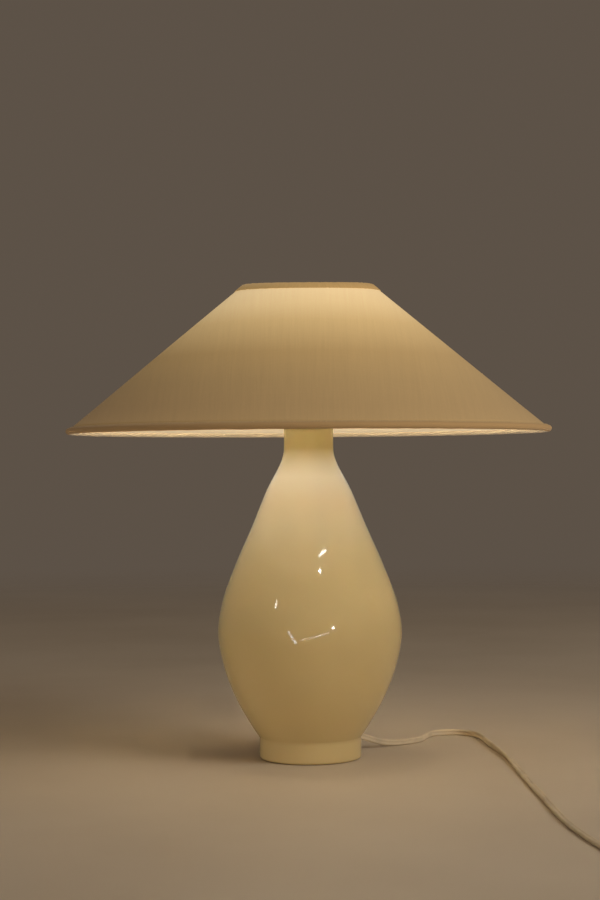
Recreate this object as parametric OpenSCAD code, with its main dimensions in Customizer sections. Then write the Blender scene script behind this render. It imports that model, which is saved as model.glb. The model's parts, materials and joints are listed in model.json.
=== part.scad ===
// Table lamp: blown opal glass base, shallow cone fabric shade, E27 lampholder and bulb,
// and a flat two-core flex with an inline rocker switch and a flat two-pin plug.
// Millimetres. +Z is up, the lamp stands on z = 0 and its axis is the Z axis.

/* [Shade] */
// Radius of the shade at its bottom edge
shade_bottom_r = 195.7; // [150:0.1:230]
// Radius of the shade at its top edge
shade_top_r = 54.1; // [50:0.1:80]
// Height of the shade's bottom edge above the table
shade_bottom_z = 271; // [266:0.5:278]
// Height of the shade's top edge above the table
shade_top_z = 388.5; // [386:0.5:400]
// Thickness of the fabric, and of the stiff lining behind it
cloth_t = 0.8; // [0.5:0.1:1]
// Number of gores in the lining
gores = 16; // [12:2:24]
// Width of the tape over the top edge
trim_w = 7.5; // [4:0.1:9]
// Thickness of the tape over the top edge
trim_t = 0.7; // [0.5:0.1:1]
// Radius of the rolled bottom edge
bead_r = 2.6; // [2.4:0.1:3.2]

/* [Glass base] */
// Radius of the glass foot
foot_r = 42; // [40:0.5:46]
// Radius of the round belly at its widest
belly_r = 75.7; // [68:0.1:85]
// Outer radius of the straight neck
neck_r = 20.4; // [20:0.1:20.8]
// Height of the neck's rim above the table
rim_z = 274; // [272:1:276]
// Thickness of the glass wall
wall = 3.5; // [3:0.1:4]
// Thickness of the felt under the foot
felt_t = 1; // [0.5:0.1:2]

/* [Bulb] */
// Radius of the bulb's globe
globe_r = 22.5; // [18:0.5:22.5]
// Height of the globe's centre above the table
globe_z = 357; // [352:1:358]
// Pitch of the lamp thread
pitch = 3.629; // [3.6:0.001:3.7]

/* [Flex] */
// Width of the flat flex
flex_w = 5.4; // [5:0.1:5.6]
// Thickness of the flat flex
flex_t = 2.8; // [2.4:0.1:3]
// Height of the flex's hole in the glass above the table
hole_z = 13.5; // [12.5:0.5:14]

/* [Switch] */
// Length of the switch's housing
switch_len = 62; // [58:1:66]
// Width of the switch's housing
switch_w = 24; // [23:0.5:26]
// How far the rocker tips to each side, in degrees
rocker_tip = 9; // [6:1:10]

/* [Plug] */
// Distance between the plug's two pins
pin_gap = 19; // [17.5:0.1:19]
// Radius of a plug pin
pin_r = 2; // [1.9:0.1:2.1]

/* [Hidden] */
$fn = 96;

// Heights of the stack in and on the neck
tube_bottom = rim_z - 31;
bung_z = rim_z - 22;
bung_h = 18;
washer_t = 1.5;
nut_h = 4;
gasket_t = 1;
cap_z = rim_z + gasket_t;
cap_t = 2;
cap_nut_h = 3;
holder_z = cap_z + cap_t + cap_nut_h;
boss_h = 8;
tube_top = holder_z + boss_h + 1;
grip_h = 3;
insert_z = holder_z + 15;
insert_h = 7;
skirt_z = holder_z + 17;
skirt_top = holder_z + 49;
shell_z = insert_z + insert_h;

// Radii of the neck fittings and the lampholder
tube_r = 5;
tube_bore = 3.9;
nut_r = 8.1;
cap_r = 22.2;
skirt_r = 20.2;
ring_r = 28;
running_gap = 0.05;

// The shade swivels between its two rings
fitter_z = holder_z + 40;
fitter_t = 2;

// Mean radius, half depth of the rolled thread: bulb and shell
male_r = 12.59;
male_depth = 0.48;
female_r = 13;
female_depth = 0.54;
shell_r = 14.5;

// The bulb below its globe
bulb_rim_z = globe_z - 26;
bulb_thread_z = globe_z - 45.4;
bulb_base_z = globe_z - 47;
bulb_tip_z = globe_z - 52.5;
bulb_glass_t = 0.9;

// The cone's slant: along it from the bottom edge upwards, and out of it
slant = norm([shade_top_r - shade_bottom_r, shade_top_z - shade_bottom_z]);
along = [shade_top_r - shade_bottom_r, shade_top_z - shade_bottom_z] / slant;
out = [along[1], -along[0]];
wire_r = 1.4;
wire_in = 2 * cloth_t + wire_r + 0.2;
wire_up = 2.2;

// The flex leaves the glass behind the foot, to the right
exit_turn = 40;
hole_r = 4;
exit_out = [cos(exit_turn), sin(exit_turn), 0];
exit_side = [-sin(exit_turn), cos(exit_turn), 0];
slot_play = 0.1;

// Route of the flex on the table: x, y, z and its roll (90 stands on edge, 0 lies flat)
lead_route = [
    [32.2, 27, 13.5, 90], [38, 32, 13.3, 90], [45, 38, 11.3, 90], [53, 45, 7.6, 90], [62, 52, 4.4, 90],
    [73, 59, 2.8, 90], [86, 68, 2.8, 90], [96, 79, 2.8, 90], [101, 94, 2.8, 90], [108, 111, 2.8, 90],
    [125, 118, 2.8, 90], [142, 111, 2.8, 90], [149, 94, 2.8, 90], [151, 74, 2.8, 90], [153, 50, 2.8, 85],
    [157, 15, 2.6, 65], [161, -22, 2.1, 30], [162, -58, 1.5, 5], [163, -95, 1.5, 0],
    [164, -142, 1.5, 0], [166, -190, 1.5, 0], [167, -235, 1.5, 0], [169, -280, 1.5, 0],
    [173, -320, 1.5, 0], [179, -358, 1.5, 0], [183, -380, 1.5, 0], [185, -397, 1.5, 0],
    [195, -420, 1.5, 0], [218, -430, 1.5, 0], [240, -420, 2, 0], [249, -400, 4.4, 0],
    [250, -384, 6, 0], [250, -370, 6, 0], [250, -355, 6, 0]
];
link_route = [
    [250, -307, 6, 0], [250, -292, 6, 0], [250, -278, 6, 0], [250, -262, 4, 0], [250, -248, 2.5, 0],
    [250, -236, 2.3, 0]
];
tail_route = [
    [320, -236, 6.3, 0], [320, -248, 6.5, 0], [320, -262, 6.9, 0], [320, -276, 7, 0], [320, -292, 7, 0]
];
inner_route = [
    [32.2, 27, 13.5, 90], [22.2, 18.6, 13.5, 90], [11.1, 9.3, 17.4, 60], [3, 2.5, 28, 20],
    [0, 0, 42.5, 0], [0, 0, 60, 0], [0, 0, 90, 0], [0, 0, 170, 0], [0, 0, tube_bottom, 0],
    [0, 0, tube_top + grip_h, 0]
];

// The spare flex: wound inwards on the table, then outwards on top of that
coil_at = [283.6, -236];
coil_inner = 19.7;
coil_outer = 39.3;
coil_low = 0.8;
coil_top = 7.8;
tie_t = 0.8;
tie_w = 10;

// The switch lies along Y on the flex
switch_at = [250, -331];
base_h = 8;
cover_h = 9.5;
housing_t = 1.6;
housing_round = 9;
flex_in_switch = 6;
rocker_z = 14;
rocker_r = 10.6;
rocker_w = 10;
window_w = 10.8;
window_len = 22;
trunnion_r = 1.2;
seesaw_z = 4.7;
ridge_r = 0.4;
seesaw_tip = 0.6 * rocker_tip;
post_at = [[8.2, -20.5], [-8.2, 20.5]];
core_r = 1.1;

// The plug lies flat beside the coil
plug_at = [320, -292, 7];
plug_len = 36;
plug_half_w = 17.6;
plug_flat_half_w = 13;
plug_half_t = 6.8;
pin_len = 19;
sleeve_len = 10;
pin_core_r = 1.4;
relief_len = 22;

// Points of a smooth curve through a list of points, with n steps between neighbours
function bend(a, b, c, d, t) = 0.5 * (2 * b + (c - a) * t + (2 * a - 5 * b + 4 * c - d) * t * t
    + (3 * b - a - 3 * c + d) * t * t * t);
function smooth(p, n) = concat(
    [for (i = [0:len(p) - 2], j = [0:n - 1])
        bend(p[max(i - 1, 0)], p[i], p[i + 1], p[min(i + 2, len(p) - 1)], j / n)],
    [p[len(p) - 1]]);

// Underside and bottom edge of the glass foot, round the recess for the felt
foot_h = 17.5;
felt_r = foot_r - 8;
foot_gap = 0.2;
foot_edge = [
    [0, felt_t], [felt_r + 0.3, felt_t], [felt_r + 0.3, foot_gap], [foot_r - 2, foot_gap],
    [foot_r - 0.6, foot_gap + 0.6], [foot_r, foot_gap + 2]
];

// Half outline of the glass from the foot to the neck, at a distance inside the surface
shoulder = [
    [foot_r, foot_h], [foot_r + 8.2, 30], [0.81 * belly_r, 50], [0.935 * belly_r, 75], [belly_r, 103],
    [0.946 * belly_r, 130], [0.799 * belly_r, 160], [0.625 * belly_r, 190], [0.461 * belly_r, 220],
    [neck_r + 4, 240], [neck_r + 0.5, 250], [neck_r, 258]
];
function outline(inset) = [for (p = smooth(shoulder, 4)) [p[0] - inset, p[1]]];

// A point on the shade's cone: s along the slant from the bottom edge, d outwards from the fabric's face
function on_cone(s, d) = [shade_bottom_r, shade_bottom_z] + s * along + d * out;

bead_at = on_cone(-wire_r - 0.05, -cloth_t);
top_ring_at = on_cone(slant - wire_up, -wire_in);
arm_at = [90, 210, 330];

function backwards(list) = [for (i = [len(list) - 1:-1:0]) list[i]];
function unit(v) = v / norm(v);

// Axes of a flat flex at point i of its route: side is fixed, or level and square to the route
function run(p, i) = unit([for (k = [0:2]) p[min(i + 1, len(p) - 1)][k] - p[max(i - 1, 0)][k]]);
function level_side(t) = unit(cross(t, [0, 0, 1]));
function flex_ring(p, i, w, h, side) =
    let (t = run(p, i), s = side == undef ? level_side(t) : side, u = cross(s, t), roll = p[i][3],
         wide = cos(roll) * s + sin(roll) * u, thin = cos(roll) * u - sin(roll) * s)
    [for (k = [0:7]) let (a = 22.5 + 45 * k, o = 1 / cos(22.5))
        [p[i][0], p[i][1], p[i][2]] + w / 2 * o * cos(a) * wide + h / 2 * o * sin(a) * thin];

// A flat flex swept along the points of its route
module flex(route, steps, w = flex_w, h = flex_t, side = undef) {
    p = smooth(route, steps);
    last = len(p) - 1;
    polyhedron(
        points = [for (i = [0:last]) each flex_ring(p, i, w, h, side)],
        faces = concat(
            [[for (k = [0:7]) k]],
            [for (i = [0:last - 1], k = [0:7])
                [8 * i + k, 8 * i + 8 + k, 8 * i + 8 + (k + 1) % 8, 8 * i + (k + 1) % 8]],
            [[for (k = [7:-1:0]) 8 * last + k]]));
}

// A sleeve with a rolled thread: levels are [z, mean radius, half depth], and the other wall is plain
module rolled_sleeve(levels, plain_r) {
    sides = 32;
    top = len(levels) - 1;
    plain = (top + 1) * sides;
    rolled = [for (l = levels, i = [0:sides - 1]) let (a = 360 * i / sides,
        r = l[1] + l[2] * cos(360 * l[0] / pitch - a)) [r * cos(a), r * sin(a), l[0]]];
    bare = [for (z = [levels[0][0], levels[top][0]], i = [0:sides - 1]) let (a = 360 * i / sides)
        [plain_r * cos(a), plain_r * sin(a), z]];
    quads = [for (i = [0:sides - 1]) let (j = (i + 1) % sides, hi = top * sides) each concat(
        [for (k = [0:top - 1]) [k * sides + i, (k + 1) * sides + i, (k + 1) * sides + j, k * sides + j]],
        [[plain + i, plain + j, plain + sides + j, plain + sides + i],
         [i, j, plain + j, plain + i],
         [hi + j, hi + i, plain + sides + i, plain + sides + j]])];
    polyhedron(points = concat(rolled, bare),
        faces = plain_r < levels[0][1] ? quads : [for (q = quads) backwards(q)]);
}
function thread_levels(z0, turns, r, depth) =
    [for (k = [0:6 * turns]) [z0 + k * pitch / 6, r, depth]];

module ring(r_in, r_out, z, h) {
    translate([0, 0, z]) difference() {
        cylinder(r = r_out, h = h);
        translate([0, 0, -1]) cylinder(r = r_in, h = h + 2);
    }
}

// A round bar between two points
module rod(a, b, r) {
    d = b - a;
    translate(a) rotate([0, acos(d[2] / norm(d)), atan2(d[1], d[0])]) cylinder(r = r, h = norm(d), $fn = 24);
}

// Puts a shape drawn along +X at the flex's hole
module at_hole() {
    translate([0, 0, hole_z]) rotate([0, 0, exit_turn]) children();
}

module glass_body() {
    color("#dcc79a") difference() {
        rotate_extrude() polygon(concat(
            foot_edge, outline(0), [[neck_r, rim_z], [neck_r - wall, rim_z]],
            backwards(outline(wall)), [[foot_r - wall, felt_t + wall], [0, felt_t + wall]]));
        at_hole() translate([foot_r - 3 * wall, 0, 0]) rotate([0, 90, 0]) cylinder(r = hole_r, h = 6 * wall);
    }
}

module foot_pad() {
    color("#6b6258") cylinder(r = felt_r, h = felt_t);
}

// Rubber bush: a flange on the glass and a tapered nose to each side
module cord_grommet() {
    nose_in = 29;
    nose_out = 49;
    color("#e8dcc4") at_hole() difference() {
        union() {
            translate([nose_in, 0, 0]) rotate([0, 90, 0]) cylinder(r1 = 3.5, r2 = hole_r, h = 10, $fn = 48);
            translate([foot_r - wall, 0, 0]) rotate([0, 90, 0]) cylinder(r = hole_r, h = wall + 1, $fn = 48);
            difference() {
                translate([foot_r - 1, 0, 0]) rotate([0, 90, 0]) cylinder(r = 5.8, h = 3, $fn = 48);
                translate([0, 0, -hole_z]) cylinder(r = foot_r, h = foot_h);
                translate([0, 0, foot_h - hole_z]) cylinder(r1 = foot_r + 0.1, r2 = foot_r + 8.3, h = 12.5);
            }
            translate([foot_r + 1.5, 0, 0]) rotate([0, 90, 0])
                cylinder(r1 = 4.6, r2 = 3.6, h = nose_out - foot_r - 1.5, $fn = 48);
        }
        translate([nose_in - 1, -flex_t / 2 - slot_play, -flex_w / 2 - slot_play])
            cube([nose_out - nose_in + 2, flex_t + 2 * slot_play, flex_w + 2 * slot_play]);
    }
}

module inner_lead() {
    color("#efe6d4") flex(inner_route, 2, side = exit_side);
}

module neck_bung() {
    color("#3a3734") ring(tube_r, neck_r - wall, bung_z, bung_h);
}

module bung_washers() {
    color("#b9bcc0") {
        ring(tube_r, neck_r - wall - 2, bung_z - washer_t, washer_t);
        ring(tube_r, neck_r - wall - 0.5, bung_z + bung_h, washer_t);
    }
}

module hex_nut(z, h) {
    translate([0, 0, z]) difference() {
        cylinder(r = nut_r, h = h, $fn = 6);
        translate([0, 0, -1]) cylinder(r = tube_r, h = h + 2);
    }
}

module lower_nut() {
    color("#b9bcc0") hex_nut(bung_z - washer_t - nut_h, nut_h);
}

module threaded_tube() {
    color("#c9b37a") ring(tube_bore, tube_r, tube_bottom, tube_top - tube_bottom);
}

module neck_gasket() {
    color("#b08d5e") ring(neck_r - wall, neck_r, rim_z, gasket_t);
}

module neck_cap() {
    lip = 3;
    color("#c2a15a") rotate_extrude() polygon([
        [tube_r, cap_z], [neck_r + 0.6, cap_z], [neck_r + 0.6, rim_z - lip], [cap_r, rim_z - lip],
        [cap_r, cap_z + cap_t - 0.8], [cap_r - 0.8, cap_z + cap_t], [tube_r, cap_z + cap_t]]);
}

module cap_nut() {
    color("#b9bcc0") hex_nut(cap_z + cap_t, cap_nut_h);
}

module holder_cap() {
    color("#f1ede2") difference() {
        translate([0, 0, holder_z]) rotate_extrude() polygon([
            [tube_r, 0], [8.5, 0], [8.5, 4], [15, 6.5], [18.2, 8.6], [19.5, 11], [19.5, 17], [17.9, 17],
            [17.9, 11.4], [16.9, 9.6], [14.2, boss_h], [tube_r, boss_h]]);
        translate([0, 0, holder_z + 2]) rotate([0, 90, 0]) cylinder(r = 1.5, h = 12, $fn = 32);
    }
}

module holder_grub_screw() {
    color("#b9bcc0") translate([tube_r, 0, holder_z + 2]) rotate([0, 90, 0]) difference() {
        cylinder(r = 1.5, h = 3.4, $fn = 32);
        translate([-0.3, -2, 2.6]) cube([0.6, 4, 1]);
    }
}

module cord_grip() {
    color("#e9e6df") translate([0, 0, tube_top]) rotate([0, 0, exit_turn]) difference() {
        cylinder(r = 7, h = grip_h);
        translate([-flex_t / 2 - slot_play, -flex_w / 2 - slot_play, -1])
            cube([flex_t + 2 * slot_play, flex_w + 2 * slot_play, grip_h + 2]);
        translate([0, 0, grip_h - 1]) cylinder(r1 = 3, r2 = 6, h = 1.1);
    }
}

// The two cores, from the end of the flex to the terminals in the insert
module conductors() {
    top = tube_top + grip_h;
    color("#8b6a4a") for (s = [-1, 1])
        flex([[s * 1.5, 0, top, 0], [s * 2, 0, top + 1, 0], [s * 4.5, 0, top + 2.3, 0],
              [s * 7.5, 0, top + 3.6, 0], [s * 9, 0, insert_z + 2.9, 0]], 2, 2, 2, [0, 1, 0]);
}

module holder_insert() {
    color("#f4f1ea") difference() {
        translate([0, 0, insert_z]) cylinder(r = 17.4, h = insert_h);
        for (s = [-1, 1]) {
            translate([s * 7 - 3.4, -1.4, insert_z - 1]) cube([6.8, 2.8, 4.6]);
            translate([s * 10.5, 0, insert_z + 2]) rotate([0, s * 90, 0]) cylinder(r = 1.2, h = 8, $fn = 32);
        }
    }
}

module terminal_screws() {
    color("#c9b37a") for (s = [-1, 1])
        translate([s * 10.5, 0, insert_z + 2]) rotate([0, s * 90, 0]) difference() {
            cylinder(r = 1.2, h = 6, $fn = 32);
            translate([-0.25, -2, 5.4]) cube([0.5, 4, 1]);
        }
}

// Sprung tongue under the bulb's contact
module centre_contact() {
    t = 0.5;
    h = 1.7;
    color("#c98f4a") translate([0, 2, shell_z]) rotate([90, 0, 0]) linear_extrude(4)
        polygon([[-8, 0], [-3.5, 0], [-1.5, h], [1.5, h], [4, 0.3], [4.4, 0.7], [1.8, h + t],
                 [-1.8, h + t], [-3.8, t], [-8, t]]);
}

module holder_shell() {
    color("#c9b37a") rolled_sleeve(thread_levels(shell_z, 6.5, female_r, female_depth), shell_r);
}

// Skirt with the thread that the shade rings run on, plain where the shade turns
module holder_skirt() {
    tooth = 0.5;
    grooves = [for (z = [27:2:37]) holder_z + z, for (z = [43:2:45]) holder_z + z];
    cut = [for (z = grooves) each [[skirt_r, z - 0.9], [skirt_r - tooth, z], [skirt_r, z + 0.9]]];
    color("#f1ede2") rotate_extrude() polygon(concat(
        [[17.6, skirt_z], [21.4, skirt_z], [21.4, skirt_z + 5], [skirt_r, skirt_z + 5.6]], cut,
        [[skirt_r, skirt_top - 1], [skirt_r - 1, skirt_top], [15.2, skirt_top], [15.2, shell_z + 1.5],
         [17.6, shell_z + 0.5]]));
}

module grip_notches(z, h) {
    for (a = [0:30:330])
        rotate([0, 0, a]) translate([ring_r + 1, 0, z - 1]) cylinder(r = 2, h = h + 2, $fn = 24);
}

module shade_ring_lower() {
    h = 3;
    z = fitter_z - running_gap - h;
    color("#f1ede2") difference() {
        union() {
            ring(skirt_r, ring_r, z, h);
            ring(skirt_r, skirt_r + 2.2, z - 4, 4.5);
        }
        grip_notches(z, h);
    }
}

module shade_ring_upper() {
    h = 4;
    z = fitter_z + fitter_t + running_gap;
    color("#f1ede2") difference() {
        ring(skirt_r, ring_r, z, h);
        grip_notches(z, h);
    }
}

// Fitter ring of the shade's frame, with a tab for each arm
module shade_fitter() {
    color("#e9e6df") {
        ring(skirt_r + running_gap, ring_r - 0.5, fitter_z, fitter_t);
        for (a = arm_at) rotate([0, 0, a]) translate([ring_r - 2, -3, fitter_z]) cube([6, 6, fitter_t]);
    }
}

// Arms welded on the tabs and against the top wire ring
module shade_arms() {
    color("#e9e6df") for (a = arm_at) rotate([0, 0, a])
        rod([ring_r + 2.4, 0, fitter_z + 1], [top_ring_at[0] - 0.5, 0, top_ring_at[1] - 0.5], 1.25);
}

module shade_top_ring() {
    color("#e9e6df") rotate_extrude() translate(top_ring_at) circle(r = wire_r, $fn = 24);
}

module shade_bottom_ring() {
    color("#e9e6df") rotate_extrude() translate(bead_at) circle(r = wire_r, $fn = 32);
}

module cone_layer(d_in, d_out, turn = 360) {
    rotate_extrude(angle = turn) polygon([
        on_cone(0, d_in), on_cone(0, d_out), on_cone(slant, d_out), on_cone(slant, d_in)]);
}

// Every other gore of the lining, which butt against those in between
module lining_gores(first) {
    turn = 360 / gores;
    color("#f6efdd") for (i = [first:2:gores - 1])
        rotate([0, 0, i * turn]) cone_layer(-2 * cloth_t, -cloth_t, turn);
}

module shade_fabric() {
    color("#d9b97c") cone_layer(-cloth_t, 0);
}

// Tape folded over the top edge; inside, it stops above the arms
module top_trim() {
    inner = -wire_in - wire_r - 0.1;
    color("#b8935a") rotate_extrude() polygon([
        on_cone(slant - trim_w, 0), on_cone(slant - trim_w, trim_t), on_cone(slant + trim_t, trim_t),
        on_cone(slant + trim_t, inner), on_cone(slant, inner), on_cone(slant, 0)]);
}

// Cloth rolled round the bottom ring and the lower edge of both layers
module bottom_trim() {
    color("#a5824c") rotate_extrude() difference() {
        translate(bead_at) circle(r = bead_r, $fn = 32);
        translate(bead_at) circle(r = wire_r, $fn = 32);
        polygon([
            on_cone(-0.1, 0), on_cone(2 * bead_r, 0), on_cone(2 * bead_r, -2 * cloth_t),
            on_cone(-0.1, -2 * cloth_t)]);
    }
}

module bulb_glass() {
    low = -acos(13 / globe_r);
    globe = [for (i = [0:20]) let (a = low + (90 - low) * i / 20) [cos(a), sin(a)]];
    neck = bulb_rim_z - globe_z;
    color("#fdf6e6") translate([0, 0, globe_z]) rotate_extrude() polygon(concat(
        [[11.1, neck - 13], [11.1, neck], [12.3, neck + 1], [13, neck + 4]],
        [for (p = globe) globe_r * p],
        backwards([for (p = globe) (globe_r - bulb_glass_t) * p]),
        [[12.1, neck + 4.3], [11.4, neck + 1.6], [10.2, neck], [10.2, neck - 13]]));
}

module bulb_cap() {
    color("#c7c9cc") rolled_sleeve(concat(
        [[bulb_base_z, 11.7, 0], [bulb_base_z + 1, 12.1, 0]],
        thread_levels(bulb_thread_z, 4.5, male_r, male_depth),
        [[bulb_rim_z - 1.5, 12.9, 0], [bulb_rim_z, 12.9, 0]]), 11.2);
}

module bulb_insulator() {
    color("#2b2623") rotate_extrude() polygon([
        [4.9, bulb_tip_z + 1.3], [11.6, bulb_base_z], [11.1, bulb_base_z], [11.1, bulb_base_z + 2],
        [0, bulb_base_z + 2], [0, bulb_tip_z + 3.1], [4.9, bulb_tip_z + 3.1]]);
}

module bulb_contact() {
    color("#c9ccd0") translate([0, 0, bulb_tip_z]) rotate_extrude()
        polygon([[0, 0], [2.6, 0.3], [4.6, 1.2], [4.6, 2.7], [0, 2.7]]);
}

module bulb_stem() {
    z = bulb_base_z + 2;
    color("#dfeaf0") rotate_extrude() polygon([
        [0, z], [9.8, z], [5, z + 6], [2.6, z + 14], [2.2, z + 30], [0, z + 31]]);
}

// Two lead wires and the coil between them
module bulb_filament() {
    z = bulb_base_z + 26;
    top = globe_z - 2;
    color("#5a5754") {
        for (s = [-1, 1]) rod([s * 2, 0, z], [s * 9, 0, top], 0.4);
        rod([-9, 0, top], [9, 0, top], 0.7);
    }
}

module cord_lead() {
    color("#efe6d4") flex(lead_route, 2);
}

module cord_link() {
    color("#efe6d4") flex(link_route, 1);
}

module cord_tail() {
    color("#efe6d4") flex(tail_route, 1);
}

module cord_coil() {
    color("#efe6d4") translate([coil_at[0], coil_at[1], 0]) rotate_extrude()
        translate([coil_inner, coil_low]) square([coil_outer - coil_inner, coil_top - coil_low]);
}

// Strap round the wound flex
module coil_tie() {
    play = 0.6;
    reach = coil_outer - coil_inner + 2 * play;
    color("#4a4743") translate([coil_at[0] - tie_w / 2, coil_at[1] + coil_inner - play, 0]) difference() {
        translate([0, -tie_t, 0]) cube([tie_w, reach + 2 * tie_t, coil_top + 0.1 + tie_t]);
        translate([-1, 0, coil_low]) cube([tie_w + 2, reach, coil_top - coil_low + 0.1]);
    }
}

module at_switch() {
    translate([switch_at[0], switch_at[1], 0]) children();
}

// Rounded outline of the switch, reduced by an inset
module switch_outline(inset) {
    r = housing_round - inset;
    steps = 6;
    polygon([for (q = [0:3], i = [0:steps]) let (a = 90 * q + 90 * i / steps,
        x = (q == 0 || q == 3 ? 1 : -1) * (switch_w / 2 - housing_round),
        y = (q < 2 ? 1 : -1) * (switch_len / 2 - housing_round)) [x + r * cos(a), y + r * sin(a)]]);
}

module switch_base() {
    slot_w = flex_w + 2 * slot_play;
    slot_t = flex_t + 2 * slot_play;
    color("#f2eee4") at_switch() difference() {
        union() {
            difference() {
                linear_extrude(base_h) switch_outline(0);
                translate([0, 0, housing_t]) linear_extrude(base_h) switch_outline(housing_t);
            }
            for (p = post_at) translate([p[0], p[1], 0]) cylinder(r = 2.9, h = 3.2, $fn = 32);
        }
        translate([-slot_w / 2, -switch_len, flex_in_switch - slot_t / 2])
            cube([slot_w, 2 * switch_len, slot_t]);
        for (p = post_at) translate([p[0], p[1], -1]) {
            cylinder(r = 2.3, h = 2.6, $fn = 32);
            cylinder(r = 1.2, h = 5, $fn = 32);
        }
    }
}

// Cover with the rocker's window and its two bearings
module switch_cover() {
    cheek = 1.6;
    color("#f2eee4") at_switch() difference() {
        union() {
            translate([0, 0, base_h]) difference() {
                linear_extrude(cover_h) switch_outline(0);
                translate([0, 0, -housing_t]) linear_extrude(cover_h) switch_outline(housing_t);
            }
            for (s = [-1, 1]) translate([s * (window_w / 2 + cheek / 2) - cheek / 2, -3, rocker_z - 2.6])
                cube([cheek, 6, base_h + cover_h - housing_t - rocker_z + 3]);
            for (p = post_at) translate([p[0], p[1], 3.2])
                cylinder(r = 2.1, h = base_h + cover_h - housing_t - 3, $fn = 32);
        }
        translate([-window_w / 2, -window_len / 2, base_h]) cube([window_w, window_len, cover_h + 1]);
        translate([-8, 0, rocker_z]) rotate([0, 90, 0])
            cylinder(r = trunnion_r + running_gap, h = 16, $fn = 48);
        for (p = post_at) translate([p[0], p[1], 2]) cylinder(r = 1.1, h = 8, $fn = 32);
    }
}

// The rocker, the plunger under it and the see-saw rest in the "on" position
module tipped(z, angle) {
    at_switch() translate([0, 0, z]) rotate([angle, 0, 0]) children();
}

module switch_rocker() {
    color("#ece7db") tipped(rocker_z, -rocker_tip) {
        intersection() {
            rotate([0, 90, 0]) translate([0, 0, -rocker_w / 2]) cylinder(r = rocker_r, h = rocker_w);
            translate([-rocker_w / 2, 0, 0]) rotate([90, 0, 90]) linear_extrude(rocker_w) polygon([
                [-11, 1], [-11, 5.4], [-6, 4.6], [0, 4.1], [6, 4.6], [11, 5.4], [11, 1], [4, -1.4],
                [-4, -1.4]]);
        }
        translate([-rocker_w / 2 - 1.4, 0, 0]) rotate([0, 90, 0])
            cylinder(r = trunnion_r, h = rocker_w + 2.8, $fn = 48);
    }
}

module switch_plunger() {
    reach = 7.8;
    color("#c9ccd0") tipped(rocker_z, -rocker_tip) translate([0, 0, -reach]) {
        cylinder(r1 = 0.8, r2 = 1.4, h = 1, $fn = 32);
        translate([0, 0, 1]) cylinder(r = 1.4, h = reach - 2.4, $fn = 32);
    }
}

module switch_seesaw() {
    t = 0.8;
    color("#c98f4a") tipped(seesaw_z, seesaw_tip) {
        translate([-2.5, -7, ridge_r]) cube([5, 14, t]);
        translate([0, -6, ridge_r - 0.5]) cylinder(r = 1.2, h = 0.5, $fn = 32);
    }
}

// Pivot terminal in the middle and fixed contact at one end, each with its strip to a clamp
module switch_terminals() {
    ridge = seesaw_z - housing_t;
    contact_z = seesaw_z + ridge_r - 6.5 * sin(seesaw_tip) - 0.9;
    color("#c9b37a") at_switch() {
        translate([2.5, 0, housing_t]) rotate([90, 0, -90]) linear_extrude(5)
            polygon([[-2, 0], [2, 0], [ridge_r, ridge], [-ridge_r, ridge]]);
        translate([-2.5, 0, seesaw_z]) rotate([0, 90, 0]) cylinder(r = ridge_r, h = 5, $fn = 32);
        translate([-2, 1.5, housing_t]) cube([4, 15.5, 0.8]);
        translate([-2.5, 13, housing_t]) cube([5, 4, 2.6]);
        translate([-2, -8, housing_t]) cube([4, 4, contact_z - housing_t]);
        translate([-2, -17, housing_t]) cube([4, 10, 0.8]);
        translate([-2.5, -17, housing_t]) cube([5, 4, 2.6]);
    }
}

module switch_terminal_screws() {
    color("#b9bcc0") at_switch() for (s = [-1, 1]) translate([0, s * 15, housing_t + 2.6]) difference() {
        cylinder(r = 1.7, h = 1.2, $fn = 32);
        translate([-2, -0.25, 0.7]) cube([4, 0.5, 1]);
    }
}

module switch_screws() {
    color("#b9bcc0") at_switch() for (p = post_at) translate([p[0], p[1], 0.3]) {
        cylinder(r = 2.1, h = 1.3, $fn = 32);
        cylinder(r = 1.1, h = 9, $fn = 32);
    }
}

// One core runs straight through the switch and the other is cut and clamped
module switch_wires() {
    cut_y = 24;
    color("#8b6a4a") at_switch() {
        flex([[-1.3, -cut_y, flex_in_switch, 0], [-5.8, -17, 4.2, 0], [-6.6, -8, 3.2, 0], [-6.6, 8, 3.2, 0],
              [-5.8, 17, 4.2, 0], [-1.3, cut_y, flex_in_switch, 0]], 2, 2 * core_r, 2 * core_r);
        for (s = [-1, 1]) flex([[1.3, s * cut_y, flex_in_switch, 0], [1.3, s * 20.5, 5.2, 0],
            [0.8, s * 17.1, 3.2, 0]], 2, 2 * core_r, 2 * core_r);
    }
}

// Tapered sleeve along +Y round a flat flex
module relief(len, r_wide, r_slim) {
    rotate([-90, 0, 0]) difference() {
        cylinder(r1 = r_wide, r2 = r_slim, h = len, $fn = 48);
        translate([-flex_w / 2 - slot_play, -flex_t / 2 - slot_play, -1])
            cube([flex_w + 2 * slot_play, flex_t + 2 * slot_play, len + 2]);
    }
}

module switch_reliefs() {
    color("#f2eee4") at_switch() for (turn = [0, 180])
        rotate([0, 0, turn]) translate([0, switch_len / 2, flex_in_switch]) relief(relief_len, 5, 3.7);
}

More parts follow.
